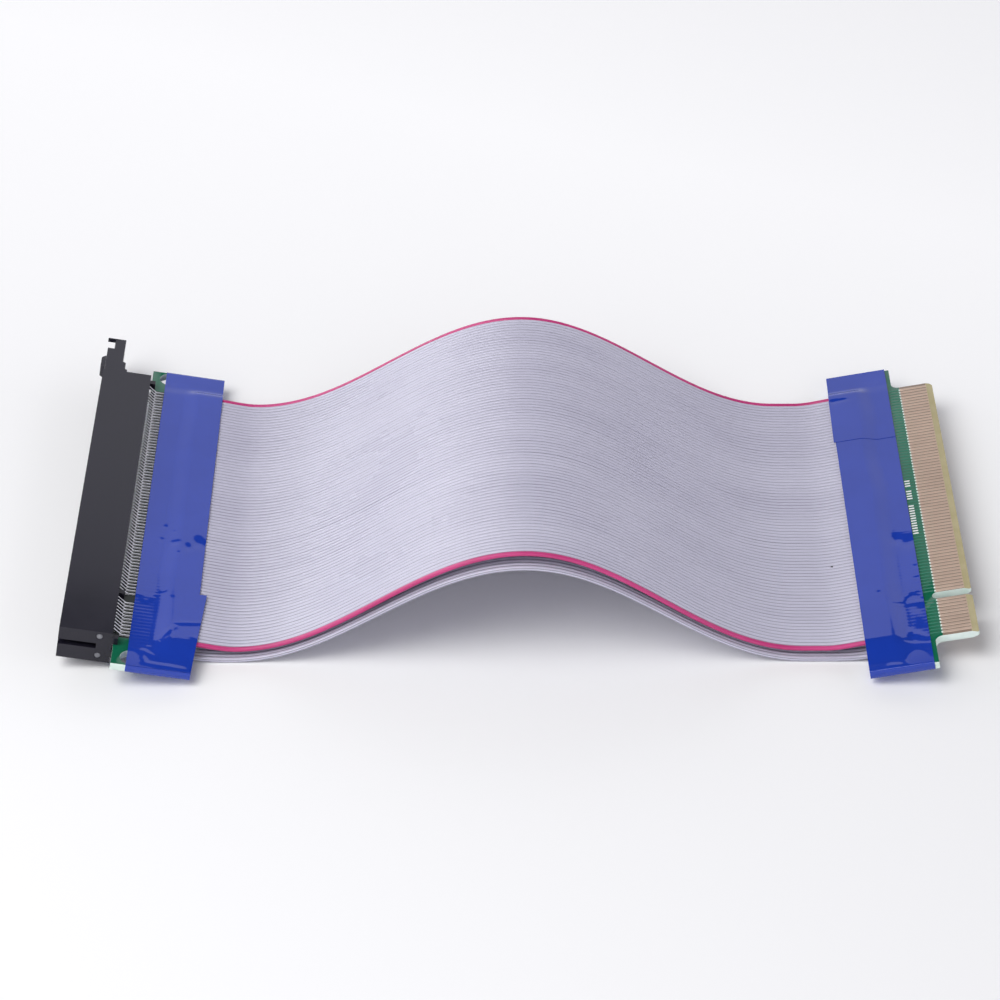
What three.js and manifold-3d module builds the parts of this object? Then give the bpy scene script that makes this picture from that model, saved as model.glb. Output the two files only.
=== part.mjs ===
// A riser cable for a graphics card, lying on a table with its ribbon arched up between two boards.
// Millimetres, +Z up. X runs along the cable, from the slot to the card edge. Y runs along the boards,
// away from the short group of contacts. Y = 0 is the middle of the key between the two groups.
// Each end is a group turned about Y: its own X lies in the board, and its origin is the middle of
// the board's thickness at the edge where the ribbon leaves.

import * as THREE from 'three';
import { mergeVertices } from 'three/addons/utils/BufferGeometryUtils.js';
import Module from 'manifold-3d';

const wasm = await Module();
wasm.setup();

// Contact pattern, shared by the slot, its pins and the card edge
const contactPitch = 1.0;
const shortCount = 11;
const longCount = 71;
const keyToContact = 1.5;

// Clearances between pieces that touch on the real object
const seatGap = 0.12;
const platingGap = 0.04;

// Boards
const boardThickness = 1.6;
const boardNearMargin = 8.8;
const boardFarMargin = 8.2;
const slotBoardDepth = 14.8;
const edgeBoardDepth = 12.8;
const holeDiameter = 4.2;
const holeEndMargin = 2.4;
const slotHoleSetback = 3.7;
const edgeHoleSetback = 4.0;

// Card edge that plugs into a slot
const tabReach = 8.5;
const tabMargin = 1.1;
const tabFillet = 1.5;
const keyWidth = 1.9;
const keyDepth = 7.65;
const bevelLength = 1.4;
const tipThickness = 0.7;
const fingerWidth = 0.7;
const fingerLength = 5.4;
const fingerThickness = 0.1;
const fingerTieWidth = 0.3;

// Slot housing
const housingDepth = 10.2;
const housingThickness = 7.5;
const housingNearMargin = 3.3;
const housingFarMargin = 2.1;
const housingSetback = 0.3;
const slotClearance = 0.15;
const slotDepth = 7.9;
const slotEndClearance = 0.25;
const endSlitWidth = 1.2;
const endSlitDepth = 7.3;
const pocketHeight = 1.3;
const pocketDepth = 2.4;
const pocketFloor = 0.75;
const pocketMargin = 0.6;
const stopWidth = 1.2;
const stopReach = 0.8;
const stopHeight = 1.5;
const markDiameter = 1.3;
const markDepth = 0.2;
const markSetback = 2.4;
const markSpacing = 4.6;

// Retention hook moulded on the far end of the housing
const hookDepth = 3.85;
const hookLength = 8.4;
const hookFootDepth = 5.0;
const hookFootLength = 1.0;
const hookRelief = 0.15;
const noseReach = 0.8;
const noseStart = 4.8;
const noseRise = 0.6;
const noseThickness = 3.0;
const postSetback = 1.6;
const postLength = 3.8;
const lipLength = 0.5;
const lipThickness = 0.8;

// Slot pins
const pinWidth = 0.5;
const pinThickness = 0.2;
const pinFootStart = 1.1;
const pinFootLength = 2.8;
const pinExitHeight = 2.1;
const pinBury = 1.0;
const pinTieDepth = 0.6;
const pinTieHeight = 0.5;

// Ribbons: two layers, each of a narrow and a wide ribbon side by side
const wirePitch = 1.0;
const narrowWays = 34;
const wideWays = 50;
const ribbonThickness = 0.9;
const ridgeDepth = 0.25;
const ribbonLead = 1.0;
const ribbonSideGap = 0.1;
const lowerShift = -0.8;
const slotHold = 4.0;
const edgeHold = 4.5;

// Lie of the ribbons on the table
const ribbonSpan = 130.4;
const slotTilt = THREE.MathUtils.degToRad(10.0);
const edgeTilt = THREE.MathUtils.degToRad(11.0);
const slotRun = 8.3;
const edgeRun = 8.0;
const edgeRest = 4.5;
const crestShift = -1.2;
const upperRise = 1.9;
const narrowCrest = 25.1;
const wideCrest = 24.5;
const crestSpread = 2.8;
const tableGap = 0.1;

// Tape wrapped once round each board and the ribbon ends on it
const tapeThickness = 0.15;
const tapeWidth = 12.4;
const tapeOverhang = 0.5;
const tapeSlope = 1.6;
const tapeRamp = 3.2;
const lapThickness = 0.1;
const slotSeam = 2.7;
const edgeSeam = 54.5;

// Solder beads that join the ribbon's wires to the boards
const beadWidth = 1.8;
const beadHeight = 0.45;
const beadSetback = 0.6;
const beadShoulderWidth = 0.6;
const beadShoulderHeight = 0.8;

// Values that follow from the sizes above
const halfBoard = boardThickness / 2;
const shortEnd = -keyToContact - (shortCount - 1) * contactPitch;
const longEnd = keyToContact + (longCount - 1) * contactPitch;
const boardNear = shortEnd - boardNearMargin;
const boardFar = longEnd + boardFarMargin;
const halfHousing = housingThickness / 2;
const housingNear = shortEnd - housingNearMargin;
const housingFar = longEnd + housingFarMargin;
const rearFace = -slotBoardDepth - housingSetback;
const matingFace = rearFace - housingDepth;
const pinSeat = halfBoard + platingGap;
const ribbonCentre = halfBoard + seatGap + ribbonThickness / 2;
const ribbonNear = shortEnd - ribbonLead;
const ribbonFar = ribbonNear + (narrowWays + wideWays) * wirePitch;
const coverOverPins = pinSeat + pinThickness + seatGap;
const coverOverRibbon = halfBoard + seatGap + ribbonThickness + seatGap;
const coverOverBoard = halfBoard + seatGap;

const plastic = new THREE.MeshStandardMaterial({ color: '#2b2930', roughness: 0.45, metalness: 0.0 });
const tin = new THREE.MeshStandardMaterial({ color: '#c9c9cd', roughness: 0.3, metalness: 1.0 });
const gold = new THREE.MeshStandardMaterial({ color: '#c39d80', roughness: 0.3, metalness: 1.0 });
const mask = new THREE.MeshStandardMaterial({ color: '#1c7a50', roughness: 0.35, metalness: 0.0 });
const vinyl = new THREE.MeshStandardMaterial({ color: '#bdb9c8', roughness: 0.5, metalness: 0.0 });
const film = new THREE.MeshStandardMaterial({ color: '#2238a4', roughness: 0.2, metalness: 0.0 });

// Turns a closed geometry into a solid that can be joined and cut
function toSolid(geometry) {
  const bare = geometry.clone();
  bare.deleteAttribute('normal');
  bare.deleteAttribute('uv');
  const merged = mergeVertices(bare, 1e-4);
  const vertProperties = new Float32Array(merged.attributes.position.array);
  const triVerts = new Uint32Array(merged.index.array);
  return new wasm.Manifold(new wasm.Mesh({ numProp: 3, vertProperties, triVerts }));
}

// Gives a joined or cut solid back as a geometry
function toGeometry(solid) {
  const mesh = solid.getMesh();
  const geometry = new THREE.BufferGeometry();
  geometry.setAttribute('position', new THREE.BufferAttribute(new Float32Array(mesh.vertProperties), 3));
  geometry.setIndex(new THREE.BufferAttribute(new Uint32Array(mesh.triVerts), 1));
  geometry.computeVertexNormals();
  return geometry;
}

// A box between two corners
function block(x0, x1, y0, y1, z0, z1) {
  const geometry = new THREE.BoxGeometry(x1 - x0, y1 - y0, z1 - z0);
  return geometry.translate((x0 + x1) / 2, (y0 + y1) / 2, (z0 + z1) / 2);
}

// A plan outline in X and Y, given a thickness from z0 to z1
function plate(shape, z0, z1) {
  const options = { depth: z1 - z0, bevelEnabled: false, curveSegments: 8 };
  return new THREE.ExtrudeGeometry(shape, options).translate(0, 0, z0);
}

// A side profile in X and Z, drawn out along Y from y0 to y1
function bar(profile, y0, y1) {
  const shape = new THREE.Shape(profile.map(([x, z]) => new THREE.Vector2(x, z)));
  const geometry = new THREE.ExtrudeGeometry(shape, { depth: y1 - y0, bevelEnabled: false });
  return geometry.rotateX(Math.PI / 2).translate(0, y1, 0);
}

// The same profile turned over to the underside of the board
function onSide(profile, side) {
  return profile.map(([x, z]) => [x, z * side]);
}

function addMesh(group, name, geometry, material) {
  const mesh = new THREE.Mesh(geometry, material.clone());
  mesh.name = name;
  group.add(mesh);
}

function contactRow(first, count) {
  return Array.from({ length: count }, (_, i) => first + i * contactPitch);
}

const groups = [
  { name: 'short', contacts: contactRow(shortEnd, shortCount) },
  { name: 'long', contacts: contactRow(keyToContact, longCount) },
];

const sides = [
  { name: 'upper', side: 1 },
  { name: 'lower', side: -1 },
];

const ribbons = [
  { name: 'narrow', ways: narrowWays, start: ribbonNear, crest: narrowCrest },
  { name: 'wide', ways: wideWays, start: ribbonNear + narrowWays * wirePitch, crest: wideCrest },
];

// Height of a board's middle at the ribbon edge: the tape under the lower ribbon just clears the table
function edgeHeight(tilt) {
  const under = coverOverRibbon + 2 * tapeThickness;
  return under * Math.cos(tilt) + tapeOverhang * Math.sin(tilt) + tableGap;
}

const slotEnd = new THREE.Group();
slotEnd.position.set(-ribbonSpan / 2, 0, edgeHeight(slotTilt));
slotEnd.rotation.y = slotTilt;
slotEnd.updateMatrixWorld();

const edgeEnd = new THREE.Group();
edgeEnd.position.set(ribbonSpan / 2, 0, edgeHeight(edgeTilt));
edgeEnd.rotation.y = -edgeTilt;
edgeEnd.updateMatrixWorld();

// Slot housing, one moulding with its retention hook
function housing() {
  const nearStop = housingNear + 0.5 * stopWidth;
  const farStop = housingFar - 0.5 * stopWidth;
  const hookRear = matingFace + hookDepth;
  const hookFar = housingFar + hookLength;
  const postFront = matingFace + postSetback;
  const postFar = hookFar + postLength;
  const hookTop = halfHousing - hookRelief;
  const hookPlan = new THREE.Shape([
    new THREE.Vector2(matingFace, housingFar - 1),
    new THREE.Vector2(matingFace + hookFootDepth, housingFar - 1),
    new THREE.Vector2(matingFace + hookFootDepth, housingFar + hookFootLength),
    new THREE.Vector2(hookRear, housingFar + 2 * hookFootLength),
    new THREE.Vector2(hookRear, postFar),
    new THREE.Vector2(postFront, postFar),
    new THREE.Vector2(postFront, hookFar),
    new THREE.Vector2(matingFace, hookFar),
  ]);
  const nosePlan = new THREE.Shape([
    new THREE.Vector2(matingFace + 1, housingFar + noseStart - noseRise),
    new THREE.Vector2(matingFace + 1, hookFar),
    new THREE.Vector2(matingFace, hookFar),
    new THREE.Vector2(matingFace - noseReach, housingFar + noseStart),
    new THREE.Vector2(matingFace, housingFar + noseStart - noseRise),
  ]);
  const added = [
    block(matingFace, rearFace, housingNear, housingFar, -halfHousing, halfHousing),
    plate(hookPlan, -hookTop, hookTop),
    plate(nosePlan, -noseThickness / 2, noseThickness / 2),
    block(matingFace, postFront + 1, postFar - lipLength, postFar, hookTop - lipThickness, hookTop),
  ];

  // Stops behind the rear face, which straddle the board at both ends and at the key
  const stopSeat = halfBoard + seatGap;
  for (const { side } of sides) {
    const low = Math.min(side * stopSeat, side * (stopSeat + stopHeight));
    for (const y of [nearStop, 0, farStop]) {
      const y0 = y - stopWidth / 2;
      const reach = -slotBoardDepth + stopReach;
      added.push(block(rearFace - 1, reach, y0, y0 + stopWidth, low, low + stopHeight));
    }
  }

  const cut = [];
  const halfSlot = halfBoard + slotClearance;
  const slotFloor = matingFace + slotDepth;
  const keyRib = keyWidth / 2 - slotEndClearance / 2;
  const slotNear = shortEnd - tabMargin - slotEndClearance;
  const slotFar = longEnd + tabMargin + slotEndClearance;
  cut.push(block(matingFace - 1, slotFloor, slotNear, -keyRib, -halfSlot, halfSlot));
  cut.push(block(matingFace - 1, slotFloor, keyRib, slotFar, -halfSlot, halfSlot));
  const slit = endSlitWidth / 2;
  cut.push(block(matingFace - 1, matingFace + endSlitDepth, housingNear - 1, slotNear + 1, -slit, slit));

  // Pockets behind the slot, where the pins come out of the rear face
  const pocketBase = halfBoard + pocketFloor;
  for (const { contacts } of groups) {
    const y0 = contacts[0] - pinWidth / 2 - pocketMargin;
    const y1 = contacts[contacts.length - 1] + pinWidth / 2 + pocketMargin;
    for (const { side } of sides) {
      const low = Math.min(side * pocketBase, side * (pocketBase + pocketHeight));
      cut.push(block(rearFace - pocketDepth, rearFace + 1, y0, y1, low, low + pocketHeight));
    }
  }

  // Two round marks of the moulding pins on the near end
  for (const { side } of sides) {
    const mark = new THREE.CylinderGeometry(markDiameter / 2, markDiameter / 2, 2 * markDepth, 12);
    cut.push(mark.translate(rearFace - markSetback, housingNear, side * markSpacing / 2));
  }
  const whole = wasm.Manifold.union(added.map(toSolid));
  return toGeometry(whole.subtract(wasm.Manifold.union(cut.map(toSolid))));
}

// A row of pins: each foot lies on the board, climbs to the housing and ends in a tie inside the pocket
function pinRow(contacts, side) {
  const footEnd = -slotBoardDepth + pinFootStart + pinFootLength;
  const knee = -slotBoardDepth + pinFootStart;
  const foot = pinSeat;
  const top = pinSeat + pinThickness;
  const exit = halfBoard + pinExitHeight - pocketFloor;
  const buried = rearFace - pinBury;
  const profile = [
    [footEnd, foot],
    [footEnd, top],
    [knee, top],
    [rearFace, exit + pinThickness],
    [buried, exit + pinThickness],
    [buried, exit],
    [rearFace, exit],
    [knee, foot],
  ];
  const parts = contacts.map((y) => bar(onSide(profile, side), y - pinWidth / 2, y + pinWidth / 2));
  const tieMiddle = side * (exit + pinThickness / 2);
  const y0 = contacts[0] - pinWidth / 2;
  const y1 = contacts[contacts.length - 1] + pinWidth / 2;
  const tieFront = buried - pinTieDepth / 2;
  const tieRear = buried + pinTieDepth / 2;
  parts.push(block(tieFront, tieRear, y0, y1, tieMiddle - pinTieHeight / 2, tieMiddle + pinTieHeight / 2));
  return toGeometry(wasm.Manifold.union(parts.map(toSolid)));
}

// Two round holes, one near each end of a board
function addHoles(outline, x) {
  for (const y of [boardNear + holeEndMargin, boardFar - holeEndMargin]) {
    const hole = new THREE.Path();
    hole.absarc(x, y, holeDiameter / 2, 0, 2 * Math.PI, true);
    outline.holes.push(hole);
  }
}

function slotBoard() {
  const outline = new THREE.Shape([
    new THREE.Vector2(-slotBoardDepth, boardNear),
    new THREE.Vector2(0, boardNear),
    new THREE.Vector2(0, boardFar),
    new THREE.Vector2(-slotBoardDepth, boardFar),
  ]);
  addHoles(outline, -slotBoardDepth + slotHoleSetback);
  return plate(outline, -halfBoard, halfBoard);
}

// The board with the card edge: its tab is notched for the key and bevelled at the tip
function edgeBoard() {
  const tip = edgeBoardDepth + tabReach;
  const tabNear = shortEnd - tabMargin;
  const tabFar = longEnd + tabMargin;
  const notchFloor = tip - keyDepth + keyWidth / 2;
  const outline = new THREE.Shape();
  outline.moveTo(0, boardNear);
  outline.lineTo(edgeBoardDepth, boardNear);
  outline.lineTo(edgeBoardDepth, tabNear - tabFillet);
  outline.absarc(edgeBoardDepth + tabFillet, tabNear - tabFillet, tabFillet, Math.PI, Math.PI / 2, true);
  outline.lineTo(tip, tabNear);
  outline.lineTo(tip, -keyWidth / 2);
  outline.absarc(notchFloor, 0, keyWidth / 2, -Math.PI / 2, Math.PI / 2, true);
  outline.lineTo(tip, keyWidth / 2);
  outline.lineTo(tip, tabFar);
  outline.absarc(edgeBoardDepth + tabFillet, tabFar + tabFillet, tabFillet, -Math.PI / 2, Math.PI, true);
  outline.lineTo(edgeBoardDepth, boardFar);
  outline.lineTo(0, boardFar);
  addHoles(outline, edgeBoardDepth - edgeHoleSetback);
  const whole = toSolid(plate(outline, -halfBoard, halfBoard));
  const bevel = [
    [tip - bevelLength, halfBoard],
    [tip, tipThickness / 2],
    [tip + 1, tipThickness / 2],
    [tip + 1, halfBoard + 1],
    [tip - bevelLength, halfBoard + 1],
  ];
  const cuts = sides.map(({ side }) => toSolid(bar(onSide(bevel, side), tabNear - 1, tabFar + 1)));
  return toGeometry(whole.subtract(wasm.Manifold.union(cuts)));
}

// A row of plated fingers, tied together at their roots
function fingerRow(contacts, side) {
  const tip = edgeBoardDepth + tabReach - bevelLength;
  const root = tip - fingerLength;
  const outline = new THREE.Shape();
  const y0 = contacts[0] - fingerWidth / 2;
  const y1 = contacts[contacts.length - 1] + fingerWidth / 2;
  outline.moveTo(root - fingerTieWidth, y0);
  for (const y of contacts) {
    outline.lineTo(root, y - fingerWidth / 2);
    outline.lineTo(tip, y - fingerWidth / 2);
    outline.lineTo(tip, y + fingerWidth / 2);
    outline.lineTo(root, y + fingerWidth / 2);
  }
  outline.lineTo(root - fingerTieWidth, y1);
  const seat = halfBoard + platingGap;
  const low = Math.min(side * seat, side * (seat + fingerThickness));
  return plate(outline, low, low + fingerThickness);
}

// A low bead of solder under the tape, along the wires of one ribbon
function solderBead(start, length, x, side) {
  const seat = halfBoard + platingGap;
  const shoulder = beadShoulderWidth * beadWidth / 2;
  const profile = [
    [x - beadWidth / 2, seat],
    [x + beadWidth / 2, seat],
    [x + shoulder, seat + beadShoulderHeight * beadHeight],
    [x, seat + beadHeight],
    [x - shoulder, seat + beadShoulderHeight * beadHeight],
  ];
  return bar(onSide(profile, side), start + wirePitch / 2, start + length - wirePitch / 2);
}

// How far the ribbons lift the tape, across the board: 0 on bare board, 1 over the ribbons
function lift(y) {
  const near = ribbonNear + lowerShift;
  const climb = Math.min(y - (near - tapeSlope), ribbonFar + tapeSlope - y) / tapeSlope;
  return THREE.MathUtils.clamp(climb, 0, 1);
}

// Tape: a thin band round the board, lower where it lies on pins than where it lies on the ribbons.
// Its end laps over its start, from the seam to one end of the board
function tape(stations, heights, seam, lapsNearEnd) {
  const near = ribbonNear + lowerShift;
  const rows = [boardNear - seatGap, near - tapeSlope, near];
  rows.push(ribbonFar, ribbonFar + tapeSlope, boardFar + seatGap);
  const profile = (grow) => rows.map((y, i) => {
    const out = i === 0 ? -grow : i === rows.length - 1 ? grow : 0;
    const cover = THREE.MathUtils.lerp(coverOverBoard, coverOverRibbon, lift(y));
    return new THREE.Vector2(y + out, cover + grow);
  });
  const under = (points) => points.map((p) => new THREE.Vector2(p.x, -p.y)).reverse();
  const inner = profile(0);
  const outer = profile(tapeThickness);
  const isLapped = (y) => (lapsNearEnd ? y < seam : y > seam);
  const top = outer.map((p) => new THREE.Vector2(p.x, p.y + (isLapped(p.x) ? lapThickness : 0)));
  const middle = coverOverRibbon + tapeThickness;
  const before = new THREE.Vector2(seam, middle + (lapsNearEnd ? lapThickness : 0));
  const after = new THREE.Vector2(seam, middle + (lapsNearEnd ? 0 : lapThickness));
  top.splice(top.findIndex((p) => p.x > seam), 0, before, after);
  const shape = new THREE.Shape([...top, ...under(outer)]);
  shape.holes.push(new THREE.Path([...inner, ...under(inner)].reverse()));
  const steps = stations.length - 1;
  const band = new THREE.ExtrudeGeometry(shape, { depth: steps, steps, bevelEnabled: false });
  const toBoard = new THREE.Matrix4().makeBasis(
    new THREE.Vector3(0, 1, 0),
    new THREE.Vector3(0, 0, 1),
    new THREE.Vector3(1, 0, 0),
  );
  band.applyMatrix4(toBoard);
  const position = band.attributes.position;
  for (let i = 0; i < position.count; i += 1) {
    const station = Math.round(position.getX(i));
    const z = position.getZ(i);
    const drop = (coverOverRibbon - heights[station]) * lift(position.getY(i));
    position.setX(i, stations[station]);
    position.setZ(i, Math.sign(z) * (Math.abs(z) - drop));
  }
  return band;
}

function slotTape() {
  const inner = tapeOverhang;
  const outer = inner - tapeWidth;
  const rampTop = -slotHold - beadSetback / 2;
  const stations = [outer, rampTop - tapeRamp, rampTop, inner];
  const heights = [coverOverPins, coverOverPins, coverOverRibbon, coverOverRibbon];
  return tape(stations, heights, slotSeam, true);
}

function edgeTape() {
  const inner = -tapeOverhang;
  const outer = inner + tapeWidth;
  const rampTop = edgeHold + beadSetback / 2;
  const stations = [inner, rampTop, rampTop + tapeRamp, outer];
  const heights = [coverOverRibbon, coverOverRibbon, coverOverPins, coverOverPins];
  return tape(stations, heights, edgeSeam, false);
}

// The line that one layer of ribbon follows: along a board, down to the table, over the arch and back
class RibbonRoute extends THREE.Curve {
  constructor(side, crest) {
    super();
    const onSlot = (x) => slotEnd.localToWorld(new THREE.Vector3(x, 0, side * ribbonCentre));
    const onEdge = (x) => edgeEnd.localToWorld(new THREE.Vector3(x, 0, side * ribbonCentre));
    const low = ribbonThickness / 2 + (side > 0 ? upperRise : 0);
    const high = crest - (side > 0 ? 0 : crestSpread);
    this.start = onSlot(-slotHold);
    this.slotEdge = onSlot(0);
    this.slotLow = new THREE.Vector3(this.slotEdge.x + slotRun, 0, low);
    const middle = (this.slotEdge.x + onEdge(0).x) / 2 + crestShift;
    this.top = new THREE.Vector3(middle, 0, high);
    this.edgeEdge = onEdge(0);
    this.edgeLow = new THREE.Vector3(this.edgeEdge.x - edgeRun, 0, low);
    this.edgeLift = new THREE.Vector3(this.edgeLow.x - edgeRest, 0, low);
    this.end = onEdge(edgeHold);
    const shares = [0.12, 0.3, 0.5, 0.7, 0.88];
    this.knots = [
      this.start.x,
      this.slotEdge.x,
      (this.slotEdge.x + this.slotLow.x) / 2,
      this.slotLow.x,
      ...shares.map((s) => THREE.MathUtils.lerp(this.slotLow.x, this.top.x, s)),
      this.top.x,
      ...shares.map((s) => THREE.MathUtils.lerp(this.top.x, this.edgeLift.x, s)),
      this.edgeLift.x,
      this.edgeLow.x,
      (this.edgeLow.x + this.edgeEdge.x) / 2,
      this.edgeEdge.x,
      this.end.x,
    ];
  }

  // Bend from a board's slope to level, between the board's edge and the low point
  settle(x, edge, low, slope) {
    const run = edge.x - low.x;
    const s = (x - low.x) / run;
    const curve = slope * run;
    const drop = edge.z - low.z;
    return low.z + s * s * (3 * drop - curve + s * (curve - 2 * drop));
  }

  rise(x, low, top) {
    const s = (x - low.x) / (top.x - low.x);
    return low.z + (top.z - low.z) * (1 - Math.cos(Math.PI * s)) / 2;
  }

  height(x) {
    if (x <= this.slotEdge.x) return this.slotEdge.z + (this.slotEdge.x - x) * Math.tan(slotTilt);
    if (x < this.slotLow.x) return this.settle(x, this.slotEdge, this.slotLow, -Math.tan(slotTilt));
    if (x < this.top.x) return this.rise(x, this.slotLow, this.top);
    if (x < this.edgeLift.x) return this.rise(x, this.edgeLift, this.top);
    if (x < this.edgeLow.x) return this.edgeLow.z;
    if (x < this.edgeEdge.x) return this.settle(x, this.edgeEdge, this.edgeLow, Math.tan(edgeTilt));
    return this.edgeEdge.z + (x - this.edgeEdge.x) * Math.tan(edgeTilt);
  }

  getPoint(t, target = new THREE.Vector3()) {
    const place = t * (this.knots.length - 1);
    const i = Math.min(Math.floor(place), this.knots.length - 2);
    const x = THREE.MathUtils.lerp(this.knots[i], this.knots[i + 1], place - i);
    return target.set(x, 0, this.height(x));
  }

  // Stations stay at the knots, so that the bends at the boards are met exactly
  getUtoTmapping(u) {
    return u;
  }
}

// A ribbon: wires side by side, drawn as ridges on the face that looks away from the other layer
function ribbon(ways, start, side, crest) {
  const half = ribbonThickness / 2;
  const last = ways * wirePitch - ribbonSideGap;
  const points = [];
  for (let wire = 0; wire < ways; wire += 1) {
    const y0 = Math.max(wire * wirePitch, ribbonSideGap);
    points.push([y0, half - ridgeDepth], [(wire + 0.5) * wirePitch, half]);
  }
  points.push([last, half - ridgeDepth], [last, -half], [ribbonSideGap, -half]);
  // The section is swept upside down and mirrored, as the curve's own frame has it
  const shift = start + (side > 0 ? 0 : lowerShift);
  const section = points.map(([y, z]) => new THREE.Vector2(-(y + shift), -z * side));
  const route = new RibbonRoute(side, crest);
  const steps = route.knots.length - 1;
  return new THREE.ExtrudeGeometry(new THREE.Shape(section), { steps, extrudePath: route });
}

const loose = new THREE.Group();

addMesh(slotEnd, 'slot_housing', housing(), plastic);
addMesh(slotEnd, 'slot_board', slotBoard(), mask);
addMesh(slotEnd, 'slot_tape', slotTape(), film);
addMesh(edgeEnd, 'edge_board', edgeBoard(), mask);
addMesh(edgeEnd, 'edge_tape', edgeTape(), film);

for (const layer of sides) {
  for (const group of groups) {
    addMesh(slotEnd, `${layer.name}_pins_${group.name}`, pinRow(group.contacts, layer.side), tin);
    addMesh(edgeEnd, `${layer.name}_fingers_${group.name}`, fingerRow(group.contacts, layer.side), gold);
  }
  for (const { name, ways, start, crest } of ribbons) {
    addMesh(loose, `${layer.name}_ribbon_${name}`, ribbon(ways, start, layer.side, crest), vinyl);
    const length = ways * wirePitch;
    const slotX = -slotHold - beadSetback - beadWidth / 2;
    const edgeX = edgeHold + beadSetback + beadWidth / 2;
    const slotBead = solderBead(start, length, slotX, layer.side);
    const edgeBead = solderBead(start, length, edgeX, layer.side);
    addMesh(slotEnd, `${layer.name}_slot_solder_${name}`, slotBead, tin);
    addMesh(edgeEnd, `${layer.name}_edge_solder_${name}`, edgeBead, tin);
  }
}

// The cable stands on the table, with the middle of its outline over the origin
const riser = new THREE.Group();
riser.add(slotEnd, edgeEnd, loose);
const bounds = new THREE.Box3().setFromObject(riser, true);
const centre = bounds.getCenter(new THREE.Vector3());
riser.position.set(-centre.x, -centre.y, -bounds.min.z);

const cable = new THREE.Group();
cable.add(riser);

export default cable;
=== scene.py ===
# A riser cable for a graphics card: two grey ribbons, one over the other, arched between two green
# boards that are wrapped in blue film tape. Sizes are in millimetres until a mesh is placed.

import math

import bmesh
import bpy
import numpy as np
from mathutils import Matrix, Vector


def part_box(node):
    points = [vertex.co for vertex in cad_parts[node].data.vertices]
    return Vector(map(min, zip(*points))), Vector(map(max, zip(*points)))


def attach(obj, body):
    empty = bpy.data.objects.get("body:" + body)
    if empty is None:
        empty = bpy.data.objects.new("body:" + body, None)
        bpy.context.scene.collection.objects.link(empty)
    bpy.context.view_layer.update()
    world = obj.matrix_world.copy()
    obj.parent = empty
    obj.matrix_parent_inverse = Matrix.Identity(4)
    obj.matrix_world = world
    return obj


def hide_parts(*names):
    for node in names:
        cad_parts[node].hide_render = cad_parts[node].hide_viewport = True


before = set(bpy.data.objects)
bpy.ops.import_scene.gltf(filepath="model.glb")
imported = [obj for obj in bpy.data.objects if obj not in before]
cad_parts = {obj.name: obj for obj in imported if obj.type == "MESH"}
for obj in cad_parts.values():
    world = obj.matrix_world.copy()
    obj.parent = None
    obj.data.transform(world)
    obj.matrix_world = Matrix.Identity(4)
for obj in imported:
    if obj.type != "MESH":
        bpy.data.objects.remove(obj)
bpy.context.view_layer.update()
MM = 0.001

# Contact pattern
PITCH = 1.0
SHORT_COUNT = 11
LONG_COUNT = 71
KEY_TO_CONTACT = 1.5
SHORT = [-KEY_TO_CONTACT - (SHORT_COUNT - 1 - i) * PITCH for i in range(SHORT_COUNT)]
LONG = [KEY_TO_CONTACT + i * PITCH for i in range(LONG_COUNT)]
GROUPS = {"short": SHORT, "long": LONG}
SIDES = {"upper": 1, "lower": -1}

# Boards
HALF_BOARD = 0.8
BOARD_NEAR = -20.3
BOARD_FAR = 79.7
SLOT_BOARD_DEPTH = 14.8
EDGE_BOARD_DEPTH = 12.8
HOLE_RADIUS = 2.1
# The painted shadow under the pins reaches this far in from the slot board's outer edge.
SLOT_PAINTED_SHADOW_X = -SLOT_BOARD_DEPTH + 4.2
HOLE_Y = (BOARD_NEAR + 2.4, BOARD_FAR - 2.4)
SLOT_HOLE_X = -SLOT_BOARD_DEPTH + 3.7
EDGE_HOLE_X = EDGE_BOARD_DEPTH - 4.0
TAB_REACH = 8.5
TAB_NEAR = SHORT[0] - 1.1
TAB_FAR = LONG[-1] + 1.1
TAB_FILLET = 1.5
KEY_WIDTH = 1.9
KEY_DEPTH = 7.65
BEVEL_LENGTH = 1.4
TIP_THICKNESS = 0.7
FINGER_LENGTH = 5.4
FINGER_WIDTH = 0.7
TIP_X = EDGE_BOARD_DEPTH + TAB_REACH
FINGER_TIP = TIP_X - BEVEL_LENGTH
FINGER_ROOT = FINGER_TIP - FINGER_LENGTH

# Housing
REAR_X = -SLOT_BOARD_DEPTH - 0.3
MATING_X = REAR_X - 10.2
HALF_HOUSING = 3.75
HOUSING_NEAR = SHORT[0] - 3.3
HOUSING_FAR = LONG[-1] + 2.1

# Ribbons
WIRE = 1.0
NARROW_WAYS = 34
WIDE_WAYS = 50
RIBBON_THICKNESS = 0.9
RIBBON_NEAR = SHORT[0] - 1.0
RIBBON_FAR = RIBBON_NEAR + (NARROW_WAYS + WIDE_WAYS) * WIRE
LOWER_SHIFT = -0.8
SEAT = 0.12
RIBBON_CENTRE = HALF_BOARD + SEAT + RIBBON_THICKNESS / 2
SLOT_HOLD = 4.0
EDGE_HOLD = 4.5

# Lie on the table
SPAN = 130.4
SLOT_TILT = math.radians(10.0)
EDGE_TILT = math.radians(11.0)
SLOT_RUN = 8.3
EDGE_RUN = 8.0
EDGE_REST = 4.5
CREST_SHIFT = -1.2
UPPER_RISE = 1.9
NEAR_CREST = 25.2
FAR_CREST = 24.3
CREST_SPREAD = 2.8

# Tape
TAPE_THICKNESS = 0.09
TAPE_WIDTH = 12.4
TAPE_OVERHANG = 0.5
OVER_BOARD = HALF_BOARD + SEAT
OVER_PINS = 1.16
OVER_RIBBON = HALF_BOARD + RIBBON_THICKNESS + 2 * SEAT
SLOT_SEAM = 2.7
EDGE_SEAM = 54.5

# From a board's middle down to what lies under its inner edge, and that above the table
UNDER_BOARD = 2.24
TABLE_GAP = 0.1

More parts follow.
